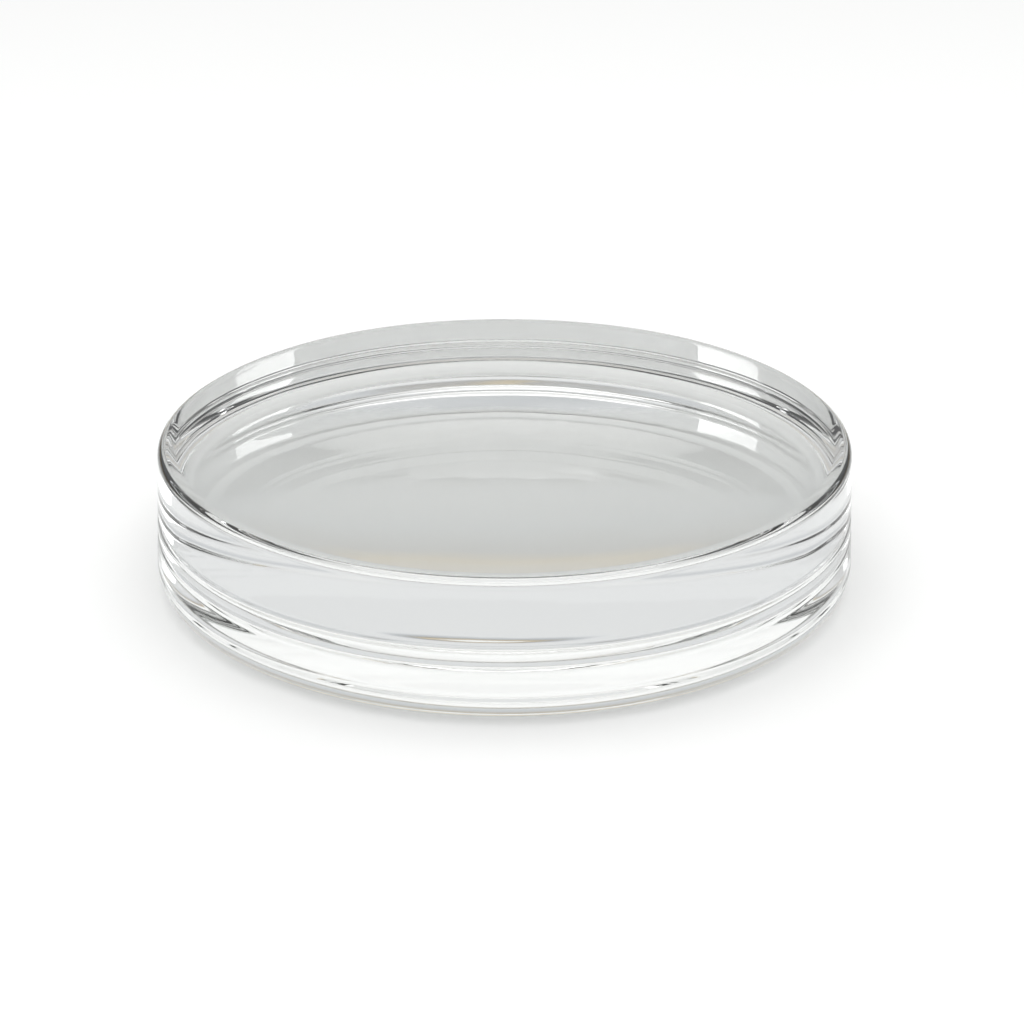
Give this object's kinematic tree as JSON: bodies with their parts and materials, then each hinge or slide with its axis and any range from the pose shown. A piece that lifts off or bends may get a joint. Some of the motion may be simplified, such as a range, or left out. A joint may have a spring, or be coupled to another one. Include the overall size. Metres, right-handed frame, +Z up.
{
  "type": "crystallizing dish",
  "caption": "Low, heavy crystallizing dish of clear pressed glass: a thick flat base, a rounded rim and a shallow, saucer-like well.",
  "frame": {"origin": "centre of the foot, on the surface that the dish stands on", "axes": "+Z up along the dish's axis of revolution, out of the open side of the well; X and Y lie across the dish and are interchangeable"},
  "size_m": [0.1006, 0.1006, 0.0205],
  "materials": {
    "clear_glass": "fire-polished"
  },
  "bodies": {
    "root": {"dish_body": "clear_glass"}
  },
  "joints": []
}
